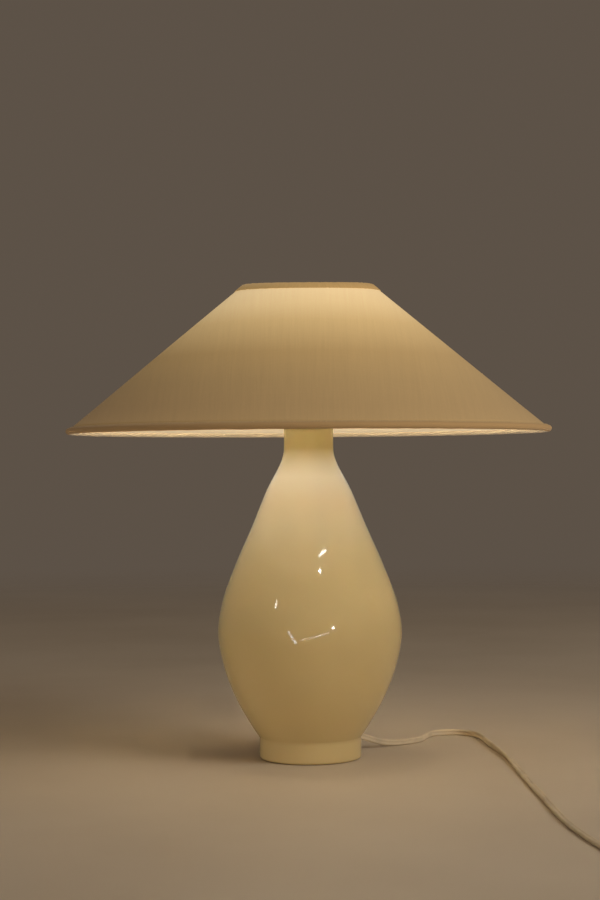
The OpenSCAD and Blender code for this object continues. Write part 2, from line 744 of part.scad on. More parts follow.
// Flattened hexagon across, waisted towards the flex
module plug_body() {
    half = [[7.4, 0], [8, -10], [plug_half_w - 2.4, -19], [plug_half_w, -24], [plug_half_w, 1 - plug_len],
            [plug_half_w - 1, -plug_len]];
    color("#f2eee4") translate(plug_at) difference() {
        intersection() {
            rotate([90, 0, 0]) linear_extrude(plug_len) polygon([
                [plug_half_w, 0], [plug_flat_half_w, plug_half_t], [-plug_flat_half_w, plug_half_t],
                [-plug_half_w, 0], [-plug_flat_half_w, -plug_half_t], [plug_flat_half_w, -plug_half_t]]);
            translate([0, 0, -plug_half_t]) linear_extrude(2 * plug_half_t)
                polygon(concat(half, backwards([for (p = half) [-p[0], p[1]]])));
        }
        for (s = [-1, 1]) translate([s * pin_gap / 2, -plug_len + 10, 0]) rotate([90, 0, 0])
            cylinder(r = pin_core_r, h = 12, $fn = 48);
    }
}

module plug_pins() {
    color("#d5d7da") translate(plug_at) for (s = [-1, 1])
        translate([s * pin_gap / 2, -plug_len, 0]) rotate([90, 0, 0]) {
            translate([0, 0, -10]) cylinder(r = pin_core_r, h = 10 + sleeve_len, $fn = 48);
            translate([0, 0, sleeve_len]) cylinder(r = pin_r, h = pin_len - sleeve_len - 1, $fn = 48);
            translate([0, 0, pin_len - 1]) cylinder(r1 = pin_r, r2 = pin_r - 0.8, h = 1, $fn = 48);
        }
}

module plug_sleeves() {
    color("#f2eee4") translate(plug_at) for (s = [-1, 1])
        translate([s * pin_gap / 2, -plug_len, 0]) rotate([90, 0, 0])
            ring(pin_core_r, pin_r - 0.2, 0, sleeve_len);
}

module plug_relief() {
    color("#f2eee4") translate(plug_at) relief(relief_len, 5, 3.7);
}

glass_body();
foot_pad();
cord_grommet();
inner_lead();
neck_bung();
bung_washers();
lower_nut();
threaded_tube();
neck_gasket();
neck_cap();
cap_nut();
holder_cap();
holder_grub_screw();
cord_grip();
conductors();
holder_insert();
terminal_screws();
centre_contact();
holder_shell();
holder_skirt();
shade_ring_lower();
shade_ring_upper();
shade_fitter();
shade_arms();
shade_top_ring();
shade_bottom_ring();
lining_gores(0);  // lining_gores_odd
lining_gores(1);  // lining_gores_even
shade_fabric();
top_trim();
bottom_trim();
bulb_glass();
bulb_cap();
bulb_insulator();
bulb_contact();
bulb_stem();
bulb_filament();
cord_lead();
cord_link();
cord_coil();
coil_tie();
cord_tail();
switch_base();
switch_cover();
switch_rocker();
switch_plunger();
switch_seesaw();
switch_terminals();
switch_terminal_screws();
switch_screws();
switch_wires();
switch_reliefs();
plug_body();
plug_pins();
plug_sleeves();
plug_relief();
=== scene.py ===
"""Looks of the table lamp: blown opal glass, slub-weave cone shade, flat flex with switch and plug."""

import json
import math

import bmesh
import bpy
from mathutils import Matrix, Quaternion, Vector, noise


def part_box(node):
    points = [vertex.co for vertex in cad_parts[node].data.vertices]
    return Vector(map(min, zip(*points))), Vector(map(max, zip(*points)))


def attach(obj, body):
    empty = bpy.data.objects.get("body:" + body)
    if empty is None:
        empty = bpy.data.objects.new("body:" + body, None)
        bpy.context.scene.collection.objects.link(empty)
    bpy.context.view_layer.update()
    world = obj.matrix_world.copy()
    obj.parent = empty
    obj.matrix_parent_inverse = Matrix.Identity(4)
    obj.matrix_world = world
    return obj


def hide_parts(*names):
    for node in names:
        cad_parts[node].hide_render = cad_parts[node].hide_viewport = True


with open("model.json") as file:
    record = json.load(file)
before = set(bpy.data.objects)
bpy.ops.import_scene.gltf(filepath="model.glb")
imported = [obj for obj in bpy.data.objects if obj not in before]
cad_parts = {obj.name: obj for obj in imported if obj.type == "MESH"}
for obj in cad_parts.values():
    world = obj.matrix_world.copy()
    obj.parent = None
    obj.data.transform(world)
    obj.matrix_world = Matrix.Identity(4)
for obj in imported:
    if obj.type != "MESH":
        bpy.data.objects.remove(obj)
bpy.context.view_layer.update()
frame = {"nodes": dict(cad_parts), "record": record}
MM = 0.001

# ---------------------------------------------------------------- camera
CAMERA_AT = Vector((-0.0071, -1.5, 0.2405))
CAMERA_PITCH = math.radians(0.492)
CAMERA_ROLL = math.radians(-0.38)
FOCAL = 72.7


def add_camera():
    data = bpy.data.cameras.new("camera")
    data.lens = FOCAL
    data.sensor_width = 36
    data.clip_start = 0.01
    camera = bpy.data.objects.new("camera", data)
    bpy.context.scene.collection.objects.link(camera)
    tilt = Matrix.Rotation(math.pi / 2 + CAMERA_PITCH, 4, "X") @ Matrix.Rotation(CAMERA_ROLL, 4, "Z")
    camera.matrix_world = Matrix.Translation(CAMERA_AT) @ tilt
    bpy.context.scene.camera = camera


# ---------------------------------------------------------------- materials
class Shader:
    """A Principled material, with short calls for the texture nodes in front of it."""

    def __init__(self, name, color, rough, **sockets):
        self.material = bpy.data.materials.new(name)
        self.material.use_nodes = True
        self.tree = self.material.node_tree
        self.bsdf = self.tree.nodes["Principled BSDF"]
        self.set(self.bsdf, {"Base Color": (*color, 1), "Roughness": rough, **sockets})
        self.coords = self.tree.nodes.new("ShaderNodeTexCoord")

    def set(self, node, values):
        for key, value in values.items():
            if isinstance(value, bpy.types.NodeSocket):
                self.tree.links.new(value, node.inputs[key])
            else:
                node.inputs[key].default_value = value

    def node(self, kind, inputs=None, **settings):
        made = self.tree.nodes.new("ShaderNode" + kind)
        for key, value in settings.items():
            setattr(made, key, value)
        self.set(made, inputs or {})
        return made

    def place(self, scale, source="Object"):
        return self.node("Mapping", {"Vector": self.coords.outputs[source], "Scale": scale}).outputs[0]

    def noise(self, scale, detail=3, vector=None, rough=0.5):
        vector = vector or self.coords.outputs["Object"]
        made = self.node("TexNoise", {"Vector": vector, "Scale": scale, "Detail": detail, "Roughness": rough})
        return made.outputs["Fac"]

    def ramp(self, factor, *stops):
        made = self.node("ValToRGB", {"Fac": factor})
        ramp = made.color_ramp
        while len(ramp.elements) < len(stops):
            ramp.elements.new(0.5)
        for element, (place, color) in zip(ramp.elements, stops):
            element.position = place
            element.color = (*color, 1) if isinstance(color, tuple) else (color, color, color, 1)
        return made.outputs["Color"]

    def math(self, operation, a, b=0.5):
        return self.node("Math", {0: a, 1: b}, operation=operation).outputs[0]

    def multiply(self, a, b):
        made = self.node("Mix", data_type="RGBA", blend_type="MULTIPLY")
        made.inputs["Factor"].default_value = 1
        self.tree.links.new(a, made.inputs["A"])
        self.tree.links.new(b, made.inputs["B"])
        return made.outputs["Result"]

    def bump(self, height, strength, distance):
        made = self.node("Bump", {"Height": height, "Strength": strength, "Distance": distance})
        self.set(self.bsdf, {"Normal": made.outputs[0]})


def linear(r, g, b):
    """Scene-linear colour of an sRGB colour given as 0 to 255."""
    return tuple(v / 255 / 12.92 if v <= 10 else ((v / 255 + 0.055) / 1.055) ** 2.4 for v in (r, g, b))


def shade_of(color, factor):
    return tuple(channel * factor for channel in color)


def plastic(name, color, rough):
    made = Shader(name, color, rough, **{"Coat Weight": 0.15, "Coat Roughness": 0.25})
    tone = made.noise(60, 4)
    made.set(made.bsdf, {
        "Base Color": made.ramp(tone, (0.3, shade_of(color, 0.94)), (0.7, color)),
        "Roughness": made.ramp(made.noise(900, 2), (0.3, rough - 0.05), (0.7, rough + 0.08))})
    made.bump(made.noise(2600, 2), 0.08, 0.0002)
    return made.material


def metal(name, color, rough=0.25):
    made = Shader(name, color, rough, Metallic=1.0)
    lines = made.noise(1, 4, made.place((40, 40, 900)))
    stains = made.noise(90, 4)
    made.set(made.bsdf, {
        "Base Color": made.ramp(stains, (0.3, shade_of(color, 0.78)), (0.65, color)),
        "Roughness": made.ramp(lines, (0.25, rough - 0.08), (0.75, rough + 0.14))})
    made.bump(lines, 0.12, 0.0001)
    return made.material


def soft(name, color, rough=0.75, scale=1400, depth=0.3):
    made = Shader(name, color, rough, **{"Sheen Weight": 0.15})
    fuzz = made.noise(scale, 5)
    made.set(made.bsdf, {"Base Color": made.ramp(fuzz, (0.3, shade_of(color, 0.72)), (0.7, color))})
    made.bump(fuzz, depth, 0.0006)
    return made.material


GLASS_CREAM = linear(223, 200, 148)
SHADE_LINEN = linear(205, 180, 136)
TAPE_TAN = linear(186, 152, 100)
BEAD_BROWN = linear(198, 166, 118)
# Lighter tan of the lip above the rolled edge: a painted highlight where light catches the top of the roll.
LIP_HIGHLIGHT_TAN = linear(214, 186, 138)
LINING_WHITE = linear(240, 232, 212)
FLEX_WHITE = linear(228, 214, 188)


# Heights between which the painted glow of the glass, and of the shade and its lining, runs
GLASS_GLOW = (0.0, 0.274)
SHADE_GLOW = (0.271, 0.3885)


def glow_by_height(made, stops, low, high):
    """Painted light of the bulb on a piece: an emission colour for each height between low and high."""
    height = made.node("SeparateXYZ", {"Vector": made.coords.outputs["Object"]}).outputs["Z"]
    share = made.node("MapRange", {"Value": height, "From Min": low, "From Max": high}).outputs[0]
    return made.ramp(share, *stops)


def opal_glass():
    made = Shader("opal glass", GLASS_CREAM, 0.07, **{
        "IOR": 1.5, "Coat Weight": 0.2, "Coat Roughness": 0.03,
        "Subsurface Weight": 0.35, "Subsurface Radius": (0.012, 0.008, 0.004), "Subsurface Scale": 1.0})
    cloud = made.noise(9, 3)
    made.set(made.bsdf, {
        "Base Color": made.ramp(cloud, (0.3, shade_of(GLASS_CREAM, 0.93)), (0.7, GLASS_CREAM)),
        "Roughness": made.ramp(made.noise(35, 4), (0.35, 0.05), (0.75, 0.11)),
        # Painted light: the glass glows by height, brightest on the shoulder just under the shade and dimmer
        # on the neck and towards the foot, standing in for the light of the shade and bulb falling on it.
        "Emission Color": glow_by_height(made, (
            (0.05, (0.0, 0.0, 0.0)), (0.37, (0.012, 0.012, 0.004)), (0.53, (0.036, 0.042, 0.028)),
            (0.62, (0.072, 0.08, 0.056)), (0.70, (0.145, 0.15, 0.11)), (0.77, (0.205, 0.19, 0.14)),
            (0.845, (0.265, 0.275, 0.235)), (0.885, (0.16, 0.18, 0.145)), (0.93, (0.045, 0.045, 0.015))),
            *GLASS_GLOW),
        "Emission Strength": 1.0})
    made.bump(made.noise(26, 2), 0.12, 0.0012)
    return made.material


def linen():
    made = Shader("slub linen", SHADE_LINEN, 0.85, **{"Sheen Weight": 0.3, "Sheen Roughness": 0.5})

    def threads_along(way, direction, count):
        return made.node("TexWave", {
            "Vector": made.place(way, "UV"), "Scale": count, "Distortion": 1.2, "Detail": 2,
            "Detail Scale": 3}, bands_direction=direction).outputs["Fac"]

    warp = threads_along((1, 0, 0), "X", 550)
    weft = threads_along((0, 1, 0), "Y", 480)
    slub = made.noise(1, 3, made.place((900, 28, 1), "UV"), 0.6)
    streak = made.noise(1, 3, made.place((260, 9, 1), "UV"), 0.55)
    cross = made.noise(1, 2, made.place((20, 700, 1), "UV"), 0.6)
    tone = made.math("ADD", made.math("MULTIPLY", slub, 0.5), made.math("MULTIPLY", streak, 0.5))
    tone = made.math("ADD", made.math("MULTIPLY", tone, 0.8), made.math("MULTIPLY", cross, 0.2))
    light = made.ramp(tone, (0.36, 0.955), (0.5, 1.0), (0.64, 1.035))
    color = made.ramp(tone, (0.36, shade_of(SHADE_LINEN, 0.93)), (0.64, SHADE_LINEN))
    # Painted light: the bulb's light through the cloth, an emission that is brightest near the top and falls
    # off towards the bottom, varied by the weave.
    glow = glow_by_height(made, (
        (0.0, (0.095, 0.055, 0.018)), (0.12, (0.08, 0.045, 0.014)), (0.28, (0.10, 0.06, 0.018)),
        (0.48, (0.165, 0.10, 0.03)), (0.7, (0.37, 0.25, 0.10)), (0.83, (0.55, 0.395, 0.19)),
        (0.92, (0.62, 0.455, 0.235)), (1.0, (0.63, 0.46, 0.24))), *SHADE_GLOW)
    made.set(made.bsdf, {
        "Base Color": color, "Emission Color": made.multiply(glow, light), "Emission Strength": 1.0})
    threads = made.math("ADD", made.math("MULTIPLY", warp, 0.4), made.math("MULTIPLY", weft, 0.3))
    made.bump(made.math("ADD", threads, made.math("MULTIPLY", slub, 0.9)), 0.35, 0.0003)
    return made.material


def lining():
    made = Shader("shade lining", LINING_WHITE, 0.6)
    tone = made.noise(60, 4)
    made.set(made.bsdf, {
        "Base Color": made.ramp(tone, (0.3, shade_of(LINING_WHITE, 0.95)), (0.7, LINING_WHITE)),
        # Painted light: the lining glows only in a narrow band at its bottom edge, where its bulb-lit inside
        # shows below the rim, and hardly at all above it.
        "Emission Color": glow_by_height(made, (
            (0.0, (0.42, 0.32, 0.20)), (0.07, (0.42, 0.32, 0.20)), (0.11, (0.03, 0.02, 0.01)),
            (1.0, (0.0, 0.0, 0.0))), *SHADE_GLOW),
        "Emission Strength": 1.0})
    made.bump(made.noise(2600, 2), 0.08, 0.0002)
    return made.material


def edge_tape(name, color, glow):
    made = Shader(name, color, 0.8, **{"Sheen Weight": 0.2})
    fibre = made.noise(1, 3, made.place((700, 120, 1), "UV"))
    made.set(made.bsdf, {
        "Base Color": made.ramp(fibre, (0.3, shade_of(color, 0.8)), (0.7, color)),
        # glow is painted light of the bulb through the tape, the same all round.
        "Emission Color": (*glow, 1), "Emission Strength": 1.0})
    made.bump(fibre, 0.4, 0.0004)
    return made.material


def bead_cloth():
    """Tape outside and white lining inside of the rolled edge, with a painted glow of the bulb that is
    brighter on the inside.
    """
    made = Shader("rolled edge", TAPE_TAN, 0.8, **{"Sheen Weight": 0.2})
    fibre = made.noise(1, 3, made.place((700, 120, 1), "UV"))
    xyz = made.node("SeparateXYZ", {"Vector": made.coords.outputs["Object"]})
    flat = made.node("CombineXYZ", {"X": xyz.outputs["X"], "Y": xyz.outputs["Y"]}).outputs[0]
    reach = made.node("VectorMath", {0: flat}, operation="LENGTH").outputs["Value"]
    edge = SHADE_LOW.x + 0.6 * MM
    inside = made.node("MapRange", {"Value": reach, "From Min": edge - 0.8 * MM, "From Max": edge}).outputs[0]
    made.set(made.bsdf, {
        "Base Color": made.ramp(inside, (0.2, linear(214, 202, 176)), (0.8, BEAD_BROWN)),
        # Painted light: more emission on the inside of the roll than on the outside.
        "Emission Color": made.ramp(inside, (0.2, (0.12, 0.10, 0.075)), (0.8, (0.05, 0.03, 0.014))),
        "Emission Strength": 1.0})
    made.bump(fibre, 0.4, 0.0004)
    return made.material


def bulb_opal():
    made = Shader("lit opal bulb", (0.9, 0.85, 0.75), 0.3, **{
        "Emission Color": (1.0, 0.78, 0.48, 1), "Emission Strength": 14.0})
    return made.material


def flex_pvc():
    made = Shader("white flex", FLEX_WHITE, 0.42, **{"Coat Weight": 0.1, "Coat Roughness": 0.4})
    dirt = made.noise(45, 5)
    made.set(made.bsdf, {
        "Base Color": made.ramp(dirt, (0.28, shade_of(FLEX_WHITE, 0.8)), (0.6, FLEX_WHITE)),
        "Roughness": made.ramp(made.noise(500, 3), (0.3, 0.36), (0.7, 0.52))})
    made.bump(made.noise(700, 3), 0.15, 0.0003)
    return made.material


MATERIALS = {
    "opal_glass": opal_glass(),
    "shade_cloth": linen(),
    "bulb_opal": bulb_opal(),
    "flex_pvc": flex_pvc(),
    "felt": soft("felt", linear(96, 88, 80), 0.95),
    "cream_rubber": soft("cream rubber", linear(226, 212, 186), 0.55, 900, 0.1),
    "black_rubber": soft("black rubber", linear(40, 38, 36), 0.6, 900, 0.1),
    "steel": metal("steel", (0.55, 0.55, 0.56)),
    "brass": metal("brass", (0.72, 0.5, 0.2)),
    "cork": soft("cork", linear(160, 122, 80), 0.85, 500, 0.5),
    "white_bakelite": plastic("white bakelite", linear(236, 232, 222), 0.22),
    "nylon": plastic("nylon", linear(228, 226, 218), 0.4),
    "core_pvc": plastic("core sheath", linear(120, 76, 48), 0.4),
    "porcelain": plastic("porcelain", linear(240, 238, 230), 0.15),
    "bronze": metal("bronze", (0.6, 0.33, 0.14)),
    "white_wire": plastic("white coated wire", linear(228, 226, 218), 0.3),
    "lining": lining(),
    "nickel": metal("nickel", (0.66, 0.66, 0.66), 0.2),
    "black_glass": plastic("black glass", linear(24, 22, 20), 0.1),
    "clear_glass": Shader("stem glass", (0.95, 0.98, 1.0), 0.02, **{"Transmission Weight": 1.0}).material,
    "tungsten": metal("tungsten", (0.3, 0.29, 0.28), 0.4),
    "tie_band": soft("tie band", linear(56, 53, 50), 0.8, 1200, 0.5),
    "switch_plastic": plastic("switch plastic", linear(236, 231, 220), 0.28),
    "plug_pvc": plastic("plug sleeve", linear(232, 227, 214), 0.42),
    # Painted glow: the tapes are lit as if the bulb shone through them.
    "edge_tape": edge_tape("edge tape", TAPE_TAN, (0.25, 0.16, 0.06)),
    "edge_lip": edge_tape("edge lip", LIP_HIGHLIGHT_TAN, (0.045, 0.03, 0.012)),
}


def dress_cad_nodes():
    """Every CAD node that stays visible takes the material of its slot."""
    for name, obj in frame["nodes"].items():
        obj.data.materials.clear()
        obj.data.materials.append(MATERIALS[SLOT_OF[name]])


# ---------------------------------------------------------------- meshes
def piece(name, verts, faces, body, slot, replaces=(), uvs=None, material=None):
    mesh = bpy.data.meshes.new(name)
    mesh.from_pydata(verts, [], faces)
    mesh.validate()
    if uvs:
        layer = mesh.uv_layers.new(name="uv")
        for polygon in mesh.polygons:
            corners = [uvs[mesh.loops[i].vertex_index] for i in polygon.loop_indices]
            wraps = max(u for u, _, _ in corners) - min(u for u, _, _ in corners) > corners[0][2] / 2
            for i, (u, v, turn) in zip(polygon.loop_indices, corners):
                layer.data[i].uv = (u + turn if wraps and u < turn / 2 else u, v)
    for polygon in mesh.polygons:
        polygon.use_smooth = True
    obj = bpy.data.objects.new(name, mesh)
    bpy.context.scene.collection.objects.link(obj)
    mesh.materials.append(material or MATERIALS[slot])
    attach(obj, body)
    if replaces:
        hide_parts(*replaces)
    return obj


BODY_OF = {node: body for body, nodes in frame["record"]["behaviour"]["bodies"].items() for node in nodes}
SLOT_OF = {part["node"]: part["material_slot"] for part in frame["record"]["subparts"]}


SHARP_EDGE, SHARP_SHADING = math.radians(28), math.radians(34)


def eased(node, width):
    """A CAD node again with its sharp edges rounded over, as a moulded or pressed part has them."""
    source = frame["nodes"][node]
    mesh = source.data.copy()
    mesh.transform(source.matrix_world)
    work = bmesh.new()
    work.from_mesh(mesh)
    bmesh.ops.remove_doubles(work, verts=work.verts, dist=0.002 * MM)
    bmesh.ops.dissolve_limit(work, angle_limit=math.radians(0.5), verts=work.verts, edges=work.edges)
    edges = [e for e in work.edges if len(e.link_faces) == 2 and e.calc_face_angle(0.0) > SHARP_EDGE]
    bmesh.ops.bevel(work, geom=edges, offset=width * MM, segments=3, profile=0.5, affect="EDGES",
                    clamp_overlap=True)
    work.to_mesh(mesh)
    work.free()
    mesh.shade_smooth()
    mesh.set_sharp_from_angle(angle=SHARP_SHADING)
    mesh.materials.clear()
    mesh.materials.append(MATERIALS[SLOT_OF[node]])
    obj = bpy.data.objects.new("eased_" + node, mesh)
    bpy.context.scene.collection.objects.link(obj)
    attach(obj, BODY_OF[node])
    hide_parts(node)
    return obj


def lathe(name, outline, steps, body, slot, replaces=(), wobble=None, closed=True, material=None):
    """Turns an outline of (r, z) points, in metres, about the Z axis; wobble moves each point a little."""
    verts, faces, uvs = [], [], []
    count = len(outline)
    run = [0.0]
    for a, b in zip(outline, outline[1:]):
        run.append(run[-1] + math.dist(a, b))
    mean = sum(r for r, _ in outline) / count
    for i in range(steps):
        turn = 2 * math.pi * i / steps
        for k, (r, z) in enumerate(outline):
            point = Vector((r * math.cos(turn), r * math.sin(turn), z))
            verts.append(point + wobble(point, turn) if wobble else point)
            uvs.append((turn * mean, run[k], 2 * math.pi * mean))
    for i in range(steps):
        j = (i + 1) % steps
        for k in range(count if closed else count - 1):
            n = (k + 1) % count
            faces.append((i * count + k, j * count + k, j * count + n, i * count + n))
    return piece(name, verts, faces, body, slot, replaces, uvs, material)


def catmull(points, steps):
    """Points of a smooth curve through points of any dimension."""
    made = []
    for i in range(len(points) - 1):
        a, b, c, d = (points[max(i - 1, 0)], points[i], points[i + 1], points[min(i + 2, len(points) - 1)])
        for j in range(steps):
            t = j / steps
            made.append(tuple(
                0.5 * (2 * q + (r - p) * t + (2 * p - 5 * q + 4 * r - s) * t * t
                       + (3 * q - p - 3 * r + s) * t ** 3) for p, q, r, s in zip(a, b, c, d)))
    return made + [tuple(points[-1])]


# ---------------------------------------------------------------- glass
WALL = 3.5 * MM
GLASS_OUTLINE = [(r * MM, z * MM) for r, z in (
    (42, 17.5), (50.2, 30), (61.3, 50), (70.8, 75), (75.7, 103), (71.6, 130), (60.5, 160), (47.3, 190),
    (34.9, 220), (24.4, 240), (20.9, 250), (20.4, 258))]
FOOT_R = 42 * MM
GLASS_LOW = 0.25 * MM
FELT_R = 34.3 * MM
FOOT_EDGE = 2.2 * MM
FELT_RECESS = 1.1 * MM
RIM_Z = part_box("glass_body")[1][2]


def blown_glass():
    """The hand-blown base: smooth, glossy and very slightly out of round."""
    side = catmull(GLASS_OUTLINE, 8)
    foot = [(0.0, FELT_RECESS), (FELT_R, FELT_RECESS), (FELT_R + 1.2 * MM, 0.5 * MM),
            (FELT_R + 2.4 * MM, GLASS_LOW)]
    edge = FOOT_EDGE
    for i in range(6):
        a = math.pi / 2 * i / 5
        foot.append((FOOT_R - edge + edge * math.sin(a), GLASS_LOW + edge - edge * math.cos(a)))
    foot += [(FOOT_R, z * MM) for z in (6, 10, 13, 15)]
    lip = [(side[-1][0], RIM_Z - 8 * MM), (side[-1][0], RIM_Z - 1 * MM), (side[-1][0] - 1 * MM, RIM_Z),
           (side[-1][0] - WALL + 1 * MM, RIM_Z), (side[-1][0] - WALL, RIM_Z - 1 * MM)]
    inside = [(r - WALL, z) for r, z in reversed(side)]
    floor = [(FOOT_R - WALL, 8 * MM), (FOOT_R - WALL - 3 * MM, 5 * MM), (0.0, 4.6 * MM)]

    def uneven(point, turn):
        fade = max(0.0, min(1.0, (RIM_Z - 12 * MM - point.z) / (30 * MM)))
        swell = noise.noise(Vector((math.cos(turn), math.sin(turn), point.z * 14)) * 1.1) * 0.35 * MM
        return Vector((math.cos(turn), math.sin(turn), 0)) * swell * fade

    return lathe("blown_glass", foot + side + lip + inside + floor, 160, "lamp", "opal_glass",
                 ["glass_body"], uneven, closed=False)


# ---------------------------------------------------------------- shade
SHADE_LOW = Vector((195.7 * MM, 271 * MM))
SHADE_HIGH = Vector((55.9 * MM, 387.0 * MM))
SLANT = (SHADE_HIGH - SHADE_LOW).length
ALONG = (SHADE_HIGH - SHADE_LOW) / SLANT
OUT = Vector((ALONG.y, -ALONG.x))
CLOTH_T = 0.8 * MM
TOP_DIP = 2.2 * MM
BEAD_R = 2.6 * MM
TOP_TAPE_W, TOP_TAPE_T, TOP_TAPE_INNER = 7.5 * MM, 0.7 * MM, -5.1 * MM
SEAM_HALF, SEAM_PROUD = 4.5 * MM, 0.45 * MM


def on_cone(s, d):
    point = SHADE_LOW + s * ALONG + d * OUT
    return (point.x, point.y)


def outwards(turn, out=OUT):
    return Vector((math.cos(turn) * out.x, math.sin(turn) * out.x, out.y))


def saddle(point, turn):
    """Bends the top edge: higher at the sides, lower at the front and back."""
    up = max(0.0, (point.z - SHADE_LOW.y) / (SHADE_HIGH.y - SHADE_LOW.y))
    return outwards(turn, ALONG) * TOP_DIP * math.cos(2 * turn) * up ** 4


def develop(obj):
    """UVs of the cone rolled out flat, in metres, with the seam at the back."""
    layer, mesh, spread = obj.data.uv_layers["uv"], obj.data, -ALONG.x
    for polygon in mesh.polygons:
        middle = math.atan2(polygon.center.x, -polygon.center.y)
        for i in polygon.loop_indices:
            at = mesh.vertices[mesh.loops[i].vertex_index].co
            turn = math.atan2(at.x, -at.y) - middle
            turn = middle + math.atan2(math.sin(turn), math.cos(turn))
            reach = math.hypot(at.x, at.y) / spread
            layer.data[i].uv = (reach * math.sin(turn * spread), reach * math.cos(turn * spread))


CONE_STEPS, CONE_ROWS = 240, 32


def cone_sheet(name, d_in, d_out, slot, replaces, ripple=0.0):
    rise = [SLANT * i / CONE_ROWS for i in range(CONE_ROWS + 1)]
    outline = [on_cone(s, d_out) for s in rise] + [on_cone(s, d_in) for s in reversed(rise)]

    def shaped(point, turn):
        wave = noise.noise(Vector((math.cos(turn) * 3, math.sin(turn) * 3, point.z * 12)))
        return saddle(point, turn) + outwards(turn) * wave * ripple

    sheet = lathe(name, outline, CONE_STEPS, "shade", slot, replaces, shaped)
    develop(sheet)
    return sheet


def trim(name, outline, steps, replaces, wave, material=None, even_top=False):
    def puckered(point, turn):
        pull = noise.noise(Vector((math.cos(turn) * 22, math.sin(turn) * 22, point.z * 60))) * wave
        return outwards(turn) * pull + (Vector() if even_top else saddle(point, turn))

    return lathe(name, outline, steps, "shade", "edge_tape", replaces, puckered, material=material)


def back_seam():
    """The lap where the two ends of the cloth meet at the back, as a narrow raised strip."""
    rows, half, proud = 40, SEAM_HALF, SEAM_PROUD
    verts, uvs = [], []
    for i in range(rows + 1):
        s = 1 * MM + (SLANT - 3 * MM) * i / rows
        for x, d in ((-half, 0.02 * MM), (-half + 0.4 * MM, proud * 0.8), (0, proud), (half, 0.02 * MM)):
            r, z = on_cone(s, d)
            turn = math.pi / 2 - x / r
            point = Vector((r * math.cos(turn), r * math.sin(turn), z))
            verts.append(point + saddle(point, turn))
            uvs.append((x, s, 1.0))
    faces = [(4 * i + k, 4 * i + k + 1, 4 * i + k + 5, 4 * i + k + 4) for i in range(rows) for k in range(3)]
    return piece("back_seam", verts, faces, "shade", "shade_cloth", (), uvs)


def shade():
    fabric = cone_sheet("linen_cone", -CLOTH_T, 0.0, "shade_cloth", ["shade_fabric"], ripple=0.25 * MM)
    cone_sheet("stiff_lining", -2 * CLOTH_T, -CLOTH_T - 0.02 * MM, "lining",
               ["lining_gores_odd", "lining_gores_even"])
    wire_in = 1.45 * MM
    bead_at = on_cone(-wire_in, -CLOTH_T)
    bead = [(bead_at[0] + BEAD_R * math.cos(a), bead_at[1] + BEAD_R * math.sin(a))
            for a in (2 * math.pi * i / 20 for i in range(20))]
    # A narrow raised lip of cloth just above the rolled edge. Its lighter tan is a painted highlight where
    # light catches the top of the roll, and it carries a faint painted glow.
    lip = [on_cone(s, d) for s, d in (
        (0.2 * MM, 0.1 * MM), (0.2 * MM, 0.9 * MM), (1.0 * MM, 1.15 * MM), (1.9 * MM, 0.75 * MM),
        (2.1 * MM, 0.1 * MM))]
    width, thick, inner = TOP_TAPE_W, TOP_TAPE_T, TOP_TAPE_INNER
    top = [on_cone(SLANT + s, d) for s, d in (
        (-width, 0.1 * MM), (-width + 0.3 * MM, thick * 0.7), (-width * 0.5, thick), (0, thick * 0.9),
        (thick * 0.7, thick * 0.4), (thick, -1 * MM), (thick, inner + 0.6 * MM), (thick * 0.6, inner),
        (0, inner), (0, 0.05 * MM))]
    trims = [
        trim("rolled_edge", bead, 360, ["bottom_trim"], 0.25 * MM, bead_cloth(), even_top=True),
        trim("edge_lip", lip, 360, [], 0.3 * MM, MATERIALS["edge_lip"], even_top=True),
        trim("top_tape", top, 300, ["top_trim"], 0.3 * MM),
        back_seam()]


# ---------------------------------------------------------------- flex
FLEX_W, FLEX_T = 5.4 * MM, 2.8 * MM
# x, y, z in millimetres and roll in degrees (90 stands on edge, 0 lies flat)
LEAD = [
    (32.2, 27, 13.5, 90), (38, 32, 13.3, 90), (45, 38, 11.3, 90), (53, 45, 7.6, 90), (62, 52, 4.4, 90),
    (73, 59, 2.8, 90), (86, 68, 2.8, 90), (96, 79, 2.8, 90), (101, 94, 2.8, 90), (108, 111, 2.8, 90),
    (125, 118, 2.8, 90), (142, 111, 2.8, 90), (149, 94, 2.8, 90), (151, 74, 2.8, 90), (153, 50, 2.8, 85),
    (157, 15, 2.6, 65), (161, -22, 2.1, 30), (162, -58, 1.5, 5), (163, -95, 1.5, 0),
    (164, -142, 1.5, 0), (166, -190, 1.5, 0), (167, -235, 1.5, 0), (169, -280, 1.5, 0),
    (173, -320, 1.5, 0), (179, -358, 1.5, 0), (183, -380, 1.5, 0), (185, -397, 1.5, 0),
    (195, -420, 1.5, 0), (218, -430, 1.5, 0), (240, -420, 2, 0), (249, -400, 4.4, 0),
    (250, -384, 6, 0), (250, -370, 6, 0), (250, -355, 6, 0)]
LINK = [
    (250, -307, 6, 0), (250, -292, 6, 0), (250, -278, 6, 0), (250, -262, 4, 0), (250, -248, 2.5, 0),
    (250, -236, 2.3, 0)]
TAIL = [
    (320, -236, 6.3, 0), (320, -248, 6.5, 0), (320, -262, 6.9, 0), (320, -276, 7, 0), (320, -292, 7, 0)]
COIL_AT = (283.6, -236)
COIL_START_R, COIL_STEP, COIL_TURNS, COIL_DOWN_TURNS = 33.6, 5.6, 4.5, 2
COIL_LOW, COIL_HIGH = 2.3, 6.3


